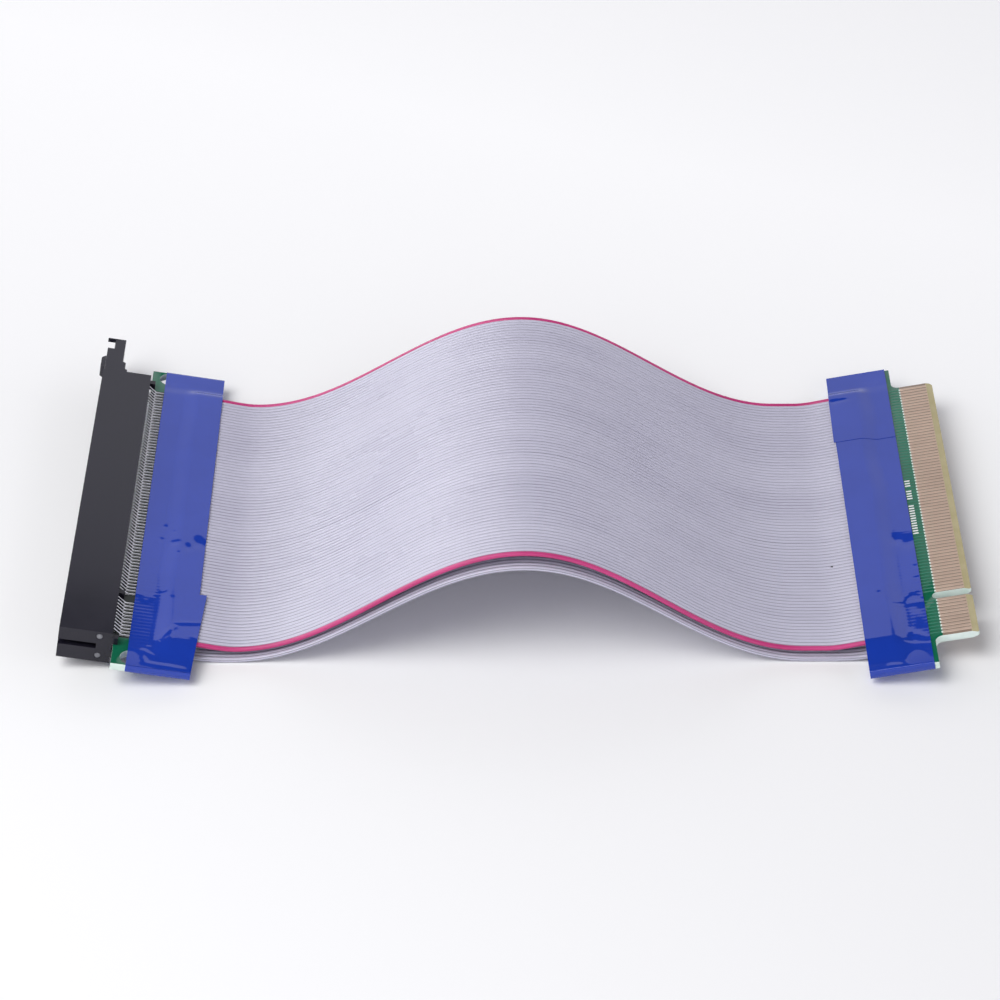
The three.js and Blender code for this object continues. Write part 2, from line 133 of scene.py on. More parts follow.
# The middle of the ribbons' span at the key, in the frame
MIDDLE_X = 2.494
board_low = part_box("slot_board")[0]
ORIGIN = Vector((MIDDLE_X, board_low.y / MM - BOARD_NEAR, 0.0))


def edge_height(tilt):
    return UNDER_BOARD * math.cos(tilt) + TAPE_OVERHANG * math.sin(tilt) + TABLE_GAP


def end_frame(x, tilt):
    place = Matrix.Translation(ORIGIN + Vector((x, 0, edge_height(abs(tilt)))))
    return place @ Matrix.Rotation(tilt, 4, "Y")


SLOT_FRAME = end_frame(-SPAN / 2, SLOT_TILT)
EDGE_FRAME = end_frame(SPAN / 2, -EDGE_TILT)
TABLE_FRAME = Matrix.Translation(ORIGIN)


# Camera: where the photograph was taken from
SENSOR_WIDTH = 36.0
LENS = 119.83
CAMERA_PLACE = (-3.97, -547.0, 399.8)
CAMERA_DOWN = 35.787
CAMERA_ROLL = 0.05
CAMERA_TURN = -0.125


def add_camera():
    data = bpy.data.cameras.new("camera")
    data.sensor_fit = "HORIZONTAL"
    data.sensor_width = SENSOR_WIDTH
    data.lens = LENS
    data.clip_end = 20
    camera = bpy.data.objects.new("camera", data)
    bpy.context.scene.collection.objects.link(camera)
    camera.location = Vector(CAMERA_PLACE) * MM
    turns = (90 - CAMERA_DOWN, CAMERA_ROLL, CAMERA_TURN)
    camera.rotation_euler = [math.radians(turn) for turn in turns]
    bpy.context.scene.camera = camera


add_camera()


# Materials
class Shader:
    """A node material with one principled shader and short calls for the nodes that feed it."""

    def __init__(self, name, color, roughness, metallic=0.0, **sockets):
        self.material = bpy.data.materials.new(name)
        self.material.use_nodes = True
        self.nodes = self.material.node_tree.nodes
        self.links = self.material.node_tree.links
        self.main = self.nodes["Principled BSDF"]
        self.set("Base Color", (*color, 1))
        self.set("Roughness", roughness)
        self.set("Metallic", metallic)
        for socket, value in sockets.items():
            self.set(socket.replace("_", " "), value)
        self.place = self.nodes.new("ShaderNodeTexCoord").outputs["Object"]

    def set(self, socket, value):
        self.main.inputs[socket].default_value = value

    def link(self, source, socket):
        self.links.new(source, self.main.inputs[socket])

    def scaled(self, scale):
        mapping = self.nodes.new("ShaderNodeMapping")
        mapping.inputs["Scale"].default_value = scale
        self.links.new(self.place, mapping.inputs["Vector"])
        return mapping.outputs["Vector"]

    def noise(self, scale, detail=3.0, stretch=(1, 1, 1), roughness=0.5):
        node = self.nodes.new("ShaderNodeTexNoise")
        node.inputs["Scale"].default_value = scale
        node.inputs["Detail"].default_value = detail
        node.inputs["Roughness"].default_value = roughness
        self.links.new(self.scaled(stretch), node.inputs["Vector"])
        return node.outputs["Fac"]

    def spread(self, value, low, high, low_out, high_out):
        node = self.nodes.new("ShaderNodeMapRange")
        node.inputs["From Min"].default_value = low
        node.inputs["From Max"].default_value = high
        node.inputs["To Min"].default_value = low_out
        node.inputs["To Max"].default_value = high_out
        self.links.new(value, node.inputs["Value"])
        return node.outputs["Result"]

    def blend(self, factor, a, b):
        node = self.nodes.new("ShaderNodeMix")
        node.data_type = "RGBA"
        self.links.new(factor, node.inputs["Factor"])
        for socket, value in (("A", a), ("B", b)):
            target = [s for s in node.inputs if s.name == socket and s.type == "RGBA"][0]
            if isinstance(value, tuple):
                target.default_value = (*value, 1)
            else:
                self.links.new(value, target)
        return [s for s in node.outputs if s.type == "RGBA"][0]

    def bump(self, height, strength, distance):
        node = self.nodes.new("ShaderNodeBump")
        node.inputs["Strength"].default_value = strength
        node.inputs["Distance"].default_value = distance
        self.links.new(height, node.inputs["Height"])
        self.link(node.outputs["Normal"], "Normal")


def speckled(name, color, other, roughness, scale, bump=0.0, metallic=0.0, stretch=(1, 1, 1), **sockets):
    """A material whose colour and roughness drift between two near values."""
    shader = Shader(name, color, roughness, metallic, **sockets)
    drift = shader.noise(scale, 4.0, stretch)
    wide = shader.spread(drift, 0.35, 0.65, 0.0, 1.0)
    shader.link(shader.blend(wide, color, other), "Base Color")
    shader.link(shader.spread(drift, 0.3, 0.7, roughness * 0.85, roughness * 1.2), "Roughness")
    if bump:
        shader.bump(shader.noise(scale * 12, 2.0), bump, 0.00002)
    return shader.material


vinyl = speckled("ribbon_grey", (0.52, 0.505, 0.615), (0.565, 0.55, 0.66), 0.28, 90, 0.0, stretch=(0.1, 1, 1))
# Darker grey on the facets down in the grooves between wires: painted shade.
groove_painted_shade = speckled("ribbon_groove_painted_shade", (0.24, 0.23, 0.29), (0.29, 0.28, 0.34), 0.5, 90, 0.0, stretch=(0.1, 1, 1))
pink = speckled("ribbon_pink", (0.50, 0.035, 0.17), (0.58, 0.05, 0.21), 0.4, 90, 0.3)
film = speckled("tape_blue", (0.008, 0.040, 0.36), (0.012, 0.047, 0.40), 0.05, 60, IOR=1.55)
plastic = speckled(
    "housing_black", (0.010, 0.0095, 0.017), (0.014, 0.013, 0.022), 0.14, 120, 0.03, Specular_IOR_Level=0.4,
)
# Light grey for the two ejector marks on the near end: real dimples, their pale colour a painted highlight.
mark = speckled("housing_mark_painted_highlight", (0.16, 0.16, 0.18), (0.22, 0.22, 0.24), 0.25, 500, 0.1)
mask = speckled("mask_green", (0.004, 0.11, 0.055), (0.006, 0.14, 0.07), 0.12, 70, 0.03)
# Near-black green for the slot board's top under the pins: painted shadow where the pins shade the board.
mask_painted_shadow = speckled("mask_dark_painted_shadow", (0.004, 0.012, 0.008), (0.010, 0.018, 0.010), 0.3, 200, 0.05)
trace = speckled("trace_green", (0.008, 0.15, 0.085), (0.010, 0.18, 0.10), 0.12, 70, 0.03)
laminate = speckled("laminate_pale", (0.66, 0.80, 0.72), (0.76, 0.86, 0.80), 0.5, 300, 0.3)
bevel_core = speckled("laminate_bevel", (0.44, 0.38, 0.19), (0.50, 0.44, 0.24), 0.4, 300, 0.2)
window = speckled("laminate_window", (0.23, 0.16, 0.11), (0.27, 0.19, 0.135), 0.4, 300, 0.1)
gold = speckled("finger_gold", (0.62, 0.47, 0.37), (0.70, 0.54, 0.43), 0.38, 500, 0.1, 0.8, (0.1, 1, 1))
tin = speckled("pin_tin", (0.74, 0.74, 0.76), (0.84, 0.84, 0.86), 0.22, 400, 0.2, 1.0)
solder = speckled("solder", (0.55, 0.55, 0.57), (0.66, 0.66, 0.68), 0.32, 500, 0.3, 1.0)
ink = speckled("ink_white", (0.78, 0.80, 0.78), (0.85, 0.86, 0.84), 0.5, 600)
dirt = speckled("speck_dark", (0.03, 0.028, 0.03), (0.05, 0.045, 0.045), 0.7, 900)


# Meshes
def piece(name, points, faces, materials, nodes=(), index=None, place=None, smooth=True):
    """A mesh in millimetres, placed in the frame in metres, riding on the one body."""
    mesh = bpy.data.meshes.new(name)
    moved = np.asarray(points, float).reshape(-1, 3)
    if place is not None:
        turn = np.array(place, float)
        moved = moved @ turn[:3, :3].T + turn[:3, 3]
    mesh.from_pydata((moved * MM).tolist(), [], faces)
    for material in materials:
        mesh.materials.append(material)
    if index is not None:
        mesh.polygons.foreach_set("material_index", index)
    if smooth:
        mesh.shade_smooth()
    mesh.update()
    made = bpy.data.objects.new(name, mesh)
    bpy.context.scene.collection.objects.link(made)
    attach(made, "root")
    if nodes:
        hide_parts(*nodes)
    return made


class Parts:
    """Collects small closed shapes into one mesh."""

    def __init__(self):
        self.points = []
        self.faces = []
        self.index = []

    def add(self, points, faces, material=0):
        start = len(self.points)
        self.points.extend(points)
        self.faces.extend([tuple(start + i for i in face) for face in faces])
        self.index.extend([material] * len(faces))

    def sweep(self, sections, material=0):
        """Closes a list of equal rings into a tube with two caps."""
        ring = len(sections[0])
        points = [p for section in sections for p in section]
        faces = []
        for s in range(len(sections) - 1):
            for i in range(ring):
                j = (i + 1) % ring
                a = s * ring
                b = a + ring
                faces.append((a + i, a + j, b + j, b + i))
        faces.append(tuple(reversed(range(ring))))
        last = (len(sections) - 1) * ring
        faces.append(tuple(range(last, last + ring)))
        self.add(points, faces, material)

    def pad(self, x0, x1, y0, y1, z0, z1, ease, material=0):
        """A flat pad with eased upper edges."""
        rings = []
        shoulder = z0 + (z1 - z0) * 0.6
        for z, inset in ((z0, 0), (shoulder, 0), (z1, ease)):
            a, b, c, d = x0 + inset, x1 - inset, y0 + inset, y1 - inset
            ring = [(a, c, z), (b, c, z), (b, d, z), (a, d, z)]
            rings.append(ring if z1 > z0 else ring[::-1])
        self.sweep(rings, material)

    def make(self, name, materials, nodes=(), place=None, smooth=False):
        return piece(name, self.points, self.faces, materials, nodes, self.index, place, smooth)


def round_edges(made, width, segments=2, angle=35):
    """Eases the hard edges of a mesh and keeps its flat faces flat."""
    made.data.shade_smooth()
    modifier = made.modifiers.new("ease", "BEVEL")
    modifier.width = width * MM
    modifier.segments = segments
    modifier.limit_method = "ANGLE"
    modifier.angle_limit = math.radians(angle)
    modifier.use_clamp_overlap = True
    weighted = made.modifiers.new("flat", "WEIGHTED_NORMAL")
    weighted.keep_sharp = True
    weighted.weight = 100
    apply_modifiers(made)


def apply_modifiers(made):
    graph = bpy.context.evaluated_depsgraph_get()
    flat = bpy.data.meshes.new_from_object(made.evaluated_get(graph))
    made.modifiers.clear()
    made.data = flat


# Ribbons
def smoothstep(t):
    t = np.clip(t, 0, 1)
    return t * t * (3 - 2 * t)


class Route:
    """Height of one layer's middle above the table, along X."""

    def __init__(self, side):
        slot = SLOT_FRAME @ Vector((0, 0, side * RIBBON_CENTRE)) - ORIGIN
        edge = EDGE_FRAME @ Vector((0, 0, side * RIBBON_CENTRE)) - ORIGIN
        start = SLOT_FRAME @ Vector((-SLOT_HOLD, 0, side * RIBBON_CENTRE)) - ORIGIN
        end = EDGE_FRAME @ Vector((EDGE_HOLD, 0, side * RIBBON_CENTRE)) - ORIGIN
        self.low = RIBBON_THICKNESS / 2 + (UPPER_RISE if side > 0 else 0)
        self.drop = 0 if side > 0 else CREST_SPREAD
        self.slot, self.edge, self.start, self.end = slot, edge, start, end
        self.slot_low = slot.x + SLOT_RUN
        self.top = (slot.x + edge.x) / 2 + CREST_SHIFT
        self.edge_low = edge.x - EDGE_RUN
        self.edge_lift = self.edge_low - EDGE_REST

    def settle(self, x, edge, low_x, slope):
        run = edge.x - low_x
        s = np.clip((x - low_x) / run, 0, 1)
        curve = slope * run
        drop = edge.z - self.low
        return self.low + s * s * (3 * drop - curve + s * (curve - 2 * drop))

    def height(self, x, y):
        share = (y - RIBBON_NEAR) / (RIBBON_FAR - RIBBON_NEAR)
        top = NEAR_CREST + (FAR_CREST - NEAR_CREST) * share - self.drop
        left = np.clip((x - self.slot_low) / (self.top - self.slot_low), 0, 1)
        right = np.clip((x - self.edge_lift) / (self.top - self.edge_lift), 0, 1)
        climb = np.where(x < self.top, left, right)
        arch = self.low + (top - self.low) * (1 - np.cos(np.pi * climb)) / 2
        z = np.where(x < self.slot_low, self.settle(x, self.slot, self.slot_low, -math.tan(SLOT_TILT)), arch)
        z = np.where(x > self.edge_low, self.settle(x, self.edge, self.edge_low, math.tan(EDGE_TILT)), z)
        z = np.where(x <= self.slot.x, self.slot.z + (self.slot.x - x) * math.tan(SLOT_TILT), z)
        return np.where(x >= self.edge.x, self.edge.z + (x - self.edge.x) * math.tan(EDGE_TILT), z)


# Stations along a ribbon, depth of the grooves between wires, and length over which a held end goes free
ALONG = 120
GROOVE = 0.3
GROOVE_POWER = 2.4
HELD = 12


def ribbon_section(ways, outward):
    """Ring of (y, offset, wire, place on the wire): fine on the outward face, plainer between layers."""
    half = RIBBON_THICKNESS / 2
    fine = (-0.5, -0.41, -0.3, -0.1, 0.1, 0.3, 0.41)
    plain = (-0.5, -0.38, 0.0, 0.38)
    gap = 0.05

    def face(steps, sign):
        ring = []
        for wire in range(ways):
            for u in steps:
                y = (wire + 0.5 + u) * WIRE
                ring.append((y, sign * (half - GROOVE * abs(2 * u) ** GROOVE_POWER), wire, abs(u)))
        ring.append((ways * WIRE, sign * (half - GROOVE), ways - 1, 0.5))
        ring[0] = (gap, ring[0][1], 0, 0.5)
        ring[-1] = (ways * WIRE - gap, ring[-1][1], ways - 1, 0.5)
        return ring

    top = face(fine if outward > 0 else plain, 1)
    bottom = face(plain if outward > 0 else fine, -1)
    return top + bottom[::-1]


def add_ribbon(layer, name, ways, start, colored):
    side = SIDES[layer]
    route = Route(side)
    ring = ribbon_section(ways, side)
    shift = start + (0 if side > 0 else LOWER_SHIFT)
    y = np.array([p[0] for p in ring]) + shift
    offset = np.array([p[1] for p in ring])
    wires = np.array([p[2] for p in ring])
    dense = np.linspace(route.start.x, route.end.x, 4000)
    heights = route.height(dense, 20.0)
    length = np.concatenate([[0], np.cumsum(np.hypot(np.diff(dense), np.diff(heights)))])
    x = np.interp(np.linspace(0, length[-1], ALONG + 1), length, dense)
    x = x[:, None]
    z = route.height(x, y[None, :])
    step = 0.01
    slope = (route.height(x + step, y[None, :]) - route.height(x - step, y[None, :])) / (2 * step)
    norm = np.sqrt(1 + slope**2)
    free = smoothstep((x - route.slot.x) / HELD) * smoothstep((route.edge.x - x) / HELD)
    wander = 0.015 * np.sin(x * 0.21 + wires[None, :] * 1.7) + 0.015 * np.sin(x * 0.13 - wires[None, :] * 2.9)
    wander = wander + 0.10 * np.sin(x * 0.09 + y[None, :] * 0.11) * np.sin(y[None, :] * 0.07 + 1.0)
    out = offset[None, :] + wander * free * 0.6
    drift = 0.02 * np.sin(x * 0.17 + wires[None, :] * 0.3) * free
    across = np.broadcast_to(y[None, :], z.shape) + drift
    points = np.stack([x - out * slope / norm, across, z + out / norm], axis=2)
    n = len(ring)
    a = np.arange(ALONG)[:, None] * n + np.arange(n)[None, :]
    b = np.arange(ALONG)[:, None] * n + np.roll(np.arange(n), -1)[None, :]
    quads = np.stack([a, b, b + n, a + n], axis=2).reshape(-1, 4)
    faces = [tuple(q) for q in quads[:, ::-1].tolist()]
    faces.append(tuple(range(n)))
    faces.append(tuple(reversed(range(ALONG * n, ALONG * n + n))))
    ring_color = []
    for i in range(n):
        j = (i + 1) % n
        # Facets at the grooves take the painted shade (index 2); the striped wires take pink (index 1).
        in_shaded_groove = max(ring[i][3], ring[j][3]) > 0.45 and ring[i][1] * ring[j][1] > 0
        ring_color.append(1 if wires[i] in colored and wires[j] in colored else 2 if in_shaded_groove else 0)
    index = ring_color * ALONG + [0, 0]
    piece(
        f"{layer}_ribbon_{name}_wires", points, faces, [vinyl, pink, groove_painted_shade],
        [f"{layer}_ribbon_{name}"], index, TABLE_FRAME,
    )


for layer_name in SIDES:
    first = [0] if layer_name == "upper" else []
    last = [WIDE_WAYS - 1] if layer_name == "upper" else []
    add_ribbon(layer_name, "narrow", NARROW_WAYS, RIBBON_NEAR, first)
    add_ribbon(layer_name, "wide", WIDE_WAYS, RIBBON_NEAR + NARROW_WAYS * WIRE, last)


# Boards
BOARD_EASE = 0.06
GROUP_MARGIN = 0.7
WINDOW_MARGIN = 0.15


def arc(cx, cy, r, a0, a1, count):
    angles = [a0 + (a1 - a0) * i / count for i in range(count + 1)]
    return [(cx + r * math.cos(angle), cy + r * math.sin(angle)) for angle in angles]


def circle(cx, cy, r, count):
    return arc(cx, cy, r, 0, 2 * math.pi, count)[:-1]


def plate_mesh(name, outline, holes, half, ease):
    """A flat plate from plan outlines, with eased edges."""
    curve = bpy.data.curves.new(name, "CURVE")
    curve.dimensions = "2D"
    curve.fill_mode = "BOTH"
    curve.extrude = half - ease
    curve.bevel_depth = ease
    curve.bevel_resolution = 1
    curve.offset = -ease
    for loop in [outline] + holes:
        spline = curve.splines.new("POLY")
        spline.points.add(len(loop) - 1)
        for point, (x, y) in zip(spline.points, loop):
            point.co = (x, y, 0, 1)
        spline.use_cyclic_u = True
    holder = bpy.data.objects.new(name, curve)
    bpy.context.scene.collection.objects.link(holder)
    graph = bpy.context.evaluated_depsgraph_get()
    mesh = bpy.data.meshes.new_from_object(holder.evaluated_get(graph))
    bpy.data.objects.remove(holder)
    bm = bmesh.new()
    bm.from_mesh(mesh)
    bmesh.ops.remove_doubles(bm, verts=bm.verts, dist=1e-4)
    bpy.data.meshes.remove(mesh)
    return bm


def finish_board(bm, name, place, node, pick):
    """Colours the faces by pick(centre, normal), in the order of the materials below."""
    bmesh.ops.recalc_face_normals(bm, faces=bm.faces)
    bm.normal_update()
    for face in bm.faces:
        face.material_index = pick(face.calc_center_median(), face.normal)
    bm.transform(Matrix.Scale(MM, 4) @ place)
    mesh = bpy.data.meshes.new(name)
    bm.to_mesh(mesh)
    bm.free()
    for material in (mask, laminate, bevel_core, window, mask_painted_shadow):
        mesh.materials.append(material)
    made = bpy.data.objects.new(name, mesh)
    bpy.context.scene.collection.objects.link(made)
    mesh.shade_smooth()
    mesh.set_sharp_from_angle(angle=math.radians(30))
    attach(made, "root")
    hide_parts(node)
    return made


def circles(x):
    return [circle(x, y, HOLE_RADIUS, 48) for y in HOLE_Y]


def split(bm, at, normal, **options):
    geom = bm.verts[:] + bm.edges[:] + bm.faces[:]
    return bmesh.ops.bisect_plane(bm, geom=geom, plane_co=Vector(at), plane_no=Vector(normal), **options)


def add_slot_board():
    outer_x = -SLOT_BOARD_DEPTH
    outline = [(outer_x, BOARD_NEAR), (0, BOARD_NEAR), (0, BOARD_FAR), (outer_x, BOARD_FAR)]
    bm = plate_mesh("slot_board", outline, circles(SLOT_HOLE_X), HALF_BOARD, BOARD_EASE)
    painted_shadow_near = SHORT[0] - GROUP_MARGIN
    painted_shadow_far = LONG[-1] + GROUP_MARGIN
    split(bm, (SLOT_PAINTED_SHADOW_X, 0, 0), (1, 0, 0))
    split(bm, (0, painted_shadow_near, 0), (0, 1, 0))
    split(bm, (0, painted_shadow_far, 0), (0, 1, 0))

    def pick(centre, normal):
        if abs(normal.z) < 0.5:
            return 1
        # Index 4: painted shadow on the top face under the pins, over the length of the contact groups.
        inside = painted_shadow_near < centre.y < painted_shadow_far
        return 4 if inside and centre.x < SLOT_PAINTED_SHADOW_X else 0

    finish_board(bm, "slot_board_green", SLOT_FRAME, "slot_board", pick)


def add_edge_board():
    tip = TIP_X
    notch = tip - KEY_DEPTH + KEY_WIDTH / 2
    half_pi = math.pi / 2
    root = EDGE_BOARD_DEPTH + TAB_FILLET
    outline = [(0, BOARD_NEAR), (EDGE_BOARD_DEPTH, BOARD_NEAR)]
    outline += arc(root, TAB_NEAR - TAB_FILLET, TAB_FILLET, math.pi, half_pi, 10)
    outline += [(tip - 0.3, TAB_NEAR), (tip, TAB_NEAR + 0.3)]
    outline += [(tip, -KEY_WIDTH / 2 - 0.25), (tip - 0.4, -KEY_WIDTH / 2)]
    outline += arc(notch, 0, KEY_WIDTH / 2, -half_pi, -3 * half_pi, 14)
    outline += [(tip - 0.4, KEY_WIDTH / 2), (tip, KEY_WIDTH / 2 + 0.25)]
    outline += [(tip, TAB_FAR - 0.5), (tip - 0.5, TAB_FAR)]
    outline += arc(root, TAB_FAR + TAB_FILLET, TAB_FILLET, -half_pi, -math.pi, 10)
    outline += [(EDGE_BOARD_DEPTH, BOARD_FAR), (0, BOARD_FAR)]
    bm = plate_mesh("edge_board", outline, circles(EDGE_HOLE_X), HALF_BOARD, BOARD_EASE)
    for side in (1, -1):
        rise = HALF_BOARD - TIP_THICKNESS / 2
        normal = Vector((rise, 0, side * BEVEL_LENGTH)).normalized()
        at = Vector((tip - BEVEL_LENGTH, 0, side * HALF_BOARD))
        cut = split(bm, at, normal, clear_outer=True)
        edges = [e for e in cut["geom_cut"] if isinstance(e, bmesh.types.BMEdge)]
        bmesh.ops.edgeloop_fill(bm, edges=[e for e in edges if e.is_boundary])
    window_x = FINGER_ROOT - WINDOW_MARGIN
    split(bm, (window_x, 0, 0), (1, 0, 0))

    def pick(centre, normal):
        if abs(normal.z) > 0.5 and normal.x > 0.2 and centre.x > tip - BEVEL_LENGTH - 0.1:
            return 2
        if abs(normal.z) < 0.5:
            return 1
        return 3 if centre.x > window_x else 0

    finish_board(bm, "edge_board_green", EDGE_FRAME, "edge_board", pick)


add_slot_board()
add_edge_board()


# Plated fingers, and the traces that run from them under the mask. What is laid on a board starts
# just under its surface.
SUNK = 0.01
PLATING = 0.05
# A pale strip in the laminate's colour just behind each finger's root: a painted highlight.
ROOT_HIGHLIGHT_LENGTH = 0.3
ROOT_HIGHLIGHT_GAP = 0.02
ROOT_HIGHLIGHT_HALF = 0.26
TRACE_HALF = 0.2
TRACE_START = EDGE_HOLD + 4


def add_fingers():
    half = FINGER_WIDTH / 2
    for layer, side in SIDES.items():
        for group, contacts in GROUPS.items():
            parts = Parts()
            z0 = side * (HALF_BOARD - SUNK)
            z1 = side * (HALF_BOARD + PLATING)
            highlight_x = (FINGER_ROOT - ROOT_HIGHLIGHT_LENGTH, FINGER_ROOT - ROOT_HIGHLIGHT_GAP)
            for y in contacts:
                parts.pad(FINGER_ROOT, FINGER_TIP + 0.15, y - half, y + half, z0, z1, 0.04)
                # Pale strip at the finger's root: painted highlight.
                parts.pad(*highlight_x, y - ROOT_HIGHLIGHT_HALF, y + ROOT_HIGHLIGHT_HALF, z0, z1, 0.04, 1)
            name = f"{layer}_fingers_{group}"
            parts.make(f"{name}_plated", [gold, laminate], [name], EDGE_FRAME)
        traces = Parts()
        z0 = side * (HALF_BOARD - SUNK)
        z1 = side * (HALF_BOARD + 0.03)
        for y in SHORT + LONG:
            traces.pad(TRACE_START, FINGER_ROOT - 0.2, y - TRACE_HALF, y + TRACE_HALF, z0, z1, 0.05)
        traces.make(f"{layer}_edge_traces", [trace], (), EDGE_FRAME)


add_fingers()


# Plain dashes of white ink on the edge board, in place of any wording, as (start, count)
INK_ROWS = ((20.6, 12), (32.4, 4), (36.8, 3))
INK_SETBACK = 0.75
DASH_LENGTH = 1.1
DASH_WIDTH = 0.42
DASH_PITCH = 0.84


def add_ink():
    parts = Parts()
    z0 = HALF_BOARD + 0.02
    z1 = HALF_BOARD + 0.045
    x = EDGE_BOARD_DEPTH - INK_SETBACK
    for start, count in INK_ROWS:
        for i in range(count):
            y = start + i * DASH_PITCH
            parts.pad(x, x + DASH_LENGTH, y, y + DASH_WIDTH, z0, z1, 0.01)
    parts.make("edge_board_ink", [ink], (), EDGE_FRAME)


add_ink()


# Housing
def box_parts(boxes):
    parts = Parts()
    for x0, x1, y0, y1, z0, z1 in boxes:
        ring = lambda z: [(x0, y0, z), (x1, y0, z), (x1, y1, z), (x0, y1, z)]
        parts.sweep([ring(z0), ring(z1)])
    return parts


def solid(name, parts):
    mesh = bpy.data.meshes.new(name)
    mesh.from_pydata(parts.points, [], parts.faces)
    made = bpy.data.objects.new(name, mesh)
    bpy.context.scene.collection.objects.link(made)
    return made


def prism(outline, z0, z1):
    parts = Parts()
    parts.sweep([[(x, y, z0) for x, y in outline], [(x, y, z1) for x, y in outline]])
    return parts


def combine(base, parts, operation):
    """Joins the parts to the base (UNION) or cuts them out of it (DIFFERENCE)."""
    tool = solid("tool", parts)
    modifier = base.modifiers.new("join", "BOOLEAN")
    modifier.operation = operation
    modifier.solver = "EXACT"
    modifier.use_self = True
    modifier.object = tool
    apply_modifiers(base)
    bpy.data.objects.remove(tool)


# The top sinks towards the near end from here, by so much a millimetre
WARP_START = 5.0
WARP = 0.0135
SLOT_HALF = 0.95
SLOT_DEPTH = 7.9
SLIT_HALF = 0.6
SLIT_DEPTH = 7.3
CELL_HALF = 0.31
CELL_REACH = 2.75
POCKET_MARGIN = 0.75
STOP_HALF = 0.6
STOP_LOW = 0.95
STOP_HIGH = 2.4
MARK_SETBACK = 2.4
MARK_HEIGHT = 2.3
MARK_RADIUS = 0.65
MARK_DEPTH = 0.16
# Rings of a mark's disc, as (depth under the end face, radius)
DISC_RINGS = ((0.3, 0.64), (0.08, 0.6), (0.02, 0.35))
POST_END = 12.2


def add_hook():
    """Latch at the far end: a neck, a block with a nose towards the mating face, and a post with a lip."""
    m = MATING_X
    far = HOUSING_FAR
    top = HALF_HOUSING - 0.15
    block = [
        (m + 0.2, far - 0.2), (m + 5.0, far - 0.2), (m + 5.0, far + 0.9), (m + 4.3, far + 1.5),
        (m + 4.15, far + 2.6), (m + 4.45, far + 3.0), (m + 4.5, far + 3.5), (m + 3.85, far + 3.9),
        (m + 3.85, far + POST_END), (m + 1.6, far + POST_END), (m + 1.6, far + 8.4), (m + 0.2, far + 8.4),
    ]
    nose = [
        (m + 0.5, far + 4.2), (m - 0.15, far + 4.3), (m - 0.8, far + 4.9),
        (m - 0.8, far + 7.6), (m - 0.15, far + 8.3), (m + 0.5, far + 8.3),
    ]
    lip = [(m, far + 11.7), (m + 2.4, far + 11.7), (m + 2.4, far + POST_END), (m, far + POST_END)]
    shapes = (
        ("hook", block, -top, top, ["slot_housing"]), ("hook_nose", nose, -1.5, 1.5, []),
        ("hook_lip", lip, top - 0.8, top, []),
    )
    for name, outline, low, high, nodes in shapes:
        part = prism(outline, low, high)
        made = piece(
            f"slot_housing_{name}", part.points, part.faces, [plastic], nodes,
            None, SLOT_FRAME,
        )
        round_edges(made, 0.08, 2)


def housing_blank():
    """The housing's block with its board stops, slot, slit, contact cells, rear pockets and end marks."""
    m, r, h = MATING_X, REAR_X, HALF_HOUSING
    near, far = HOUSING_NEAR, HOUSING_FAR
    base = solid("housing", box_parts([(m, r, near, far, -h, h)]))
    stop_x = (r - STOP_HALF, -SLOT_BOARD_DEPTH + 0.8)
    for side in (1, -1):
        low = min(side * STOP_LOW, side * STOP_HIGH)
        for y in (near + STOP_HALF, 0, far - STOP_HALF):
            box = (*stop_x, y - STOP_HALF, y + STOP_HALF, low, low + STOP_HIGH - STOP_LOW)
            combine(base, box_parts([box]), "UNION")
    floor = m + SLOT_DEPTH
    rib = KEY_WIDTH / 2 - 0.12
    cuts = [
        (m - 1, floor, TAB_NEAR - 0.25, -rib, -SLOT_HALF, SLOT_HALF),
        (m - 1, floor, rib, TAB_FAR + 0.25, -SLOT_HALF, SLOT_HALF),
    ]
    combine(base, box_parts(cuts), "DIFFERENCE")
    slit = (m - 1, m + SLIT_DEPTH, near - 1, TAB_NEAR, -SLIT_HALF, SLIT_HALF)
    combine(base, box_parts([slit]), "DIFFERENCE")
    cells = []
    for y in SHORT + LONG:
        for side in (1, -1):
            z0, z1 = sorted((side * SLIT_HALF, side * CELL_REACH))
            cells.append((m + 0.9, r - 0.9, y - CELL_HALF, y + CELL_HALF, z0, z1))
    combine(base, box_parts(cells), "DIFFERENCE")
    for contacts in GROUPS.values():
        y0 = contacts[0] - POCKET_MARGIN
        y1 = contacts[-1] + POCKET_MARGIN
        for side in (1, -1):
            z0, z1 = sorted((side * 1.55, side * 2.85))
            combine(base, box_parts([(r - 1.2, r + 1, y0, y1, z0, z1)]), "DIFFERENCE")
    for side in (1, -1):
        ring = circle(r - MARK_SETBACK, side * MARK_HEIGHT, MARK_RADIUS, 24)
        recess = Parts()
        recess.sweep([[(x, near + MARK_DEPTH, z) for x, z in ring], [(x, near - 0.5, z) for x, z in ring]])
        combine(base, recess, "DIFFERENCE")
    return base


def warp_top(base):
    """Lowers the top face towards the near end, as the light on it in the photograph shows."""
    bm = bmesh.new()
    bm.from_mesh(base.data)
    split(bm, (0, WARP_START, 0), (0, 1, 0))
    for vert in bm.verts:
        if vert.co.z > 3.5 and vert.co.y < WARP_START:
            vert.co.z -= WARP * (WARP_START - vert.co.y)
    bm.to_mesh(base.data)
    bm.free()


def add_marks():
    # The discs in the end recesses take the light grey: the recesses are real, the light colour is a painted
    # highlight.
    discs = Parts()
    for side in (1, -1):
        rings = []
        for depth, radius in DISC_RINGS:
            ring = circle(REAR_X - MARK_SETBACK, side * MARK_HEIGHT, radius, 24)
            rings.append([(x, HOUSING_NEAR + depth, z) for x, z in ring])
        discs.sweep(rings)
    discs.make("slot_housing_marks_painted_highlight", [mark], (), SLOT_FRAME, True)


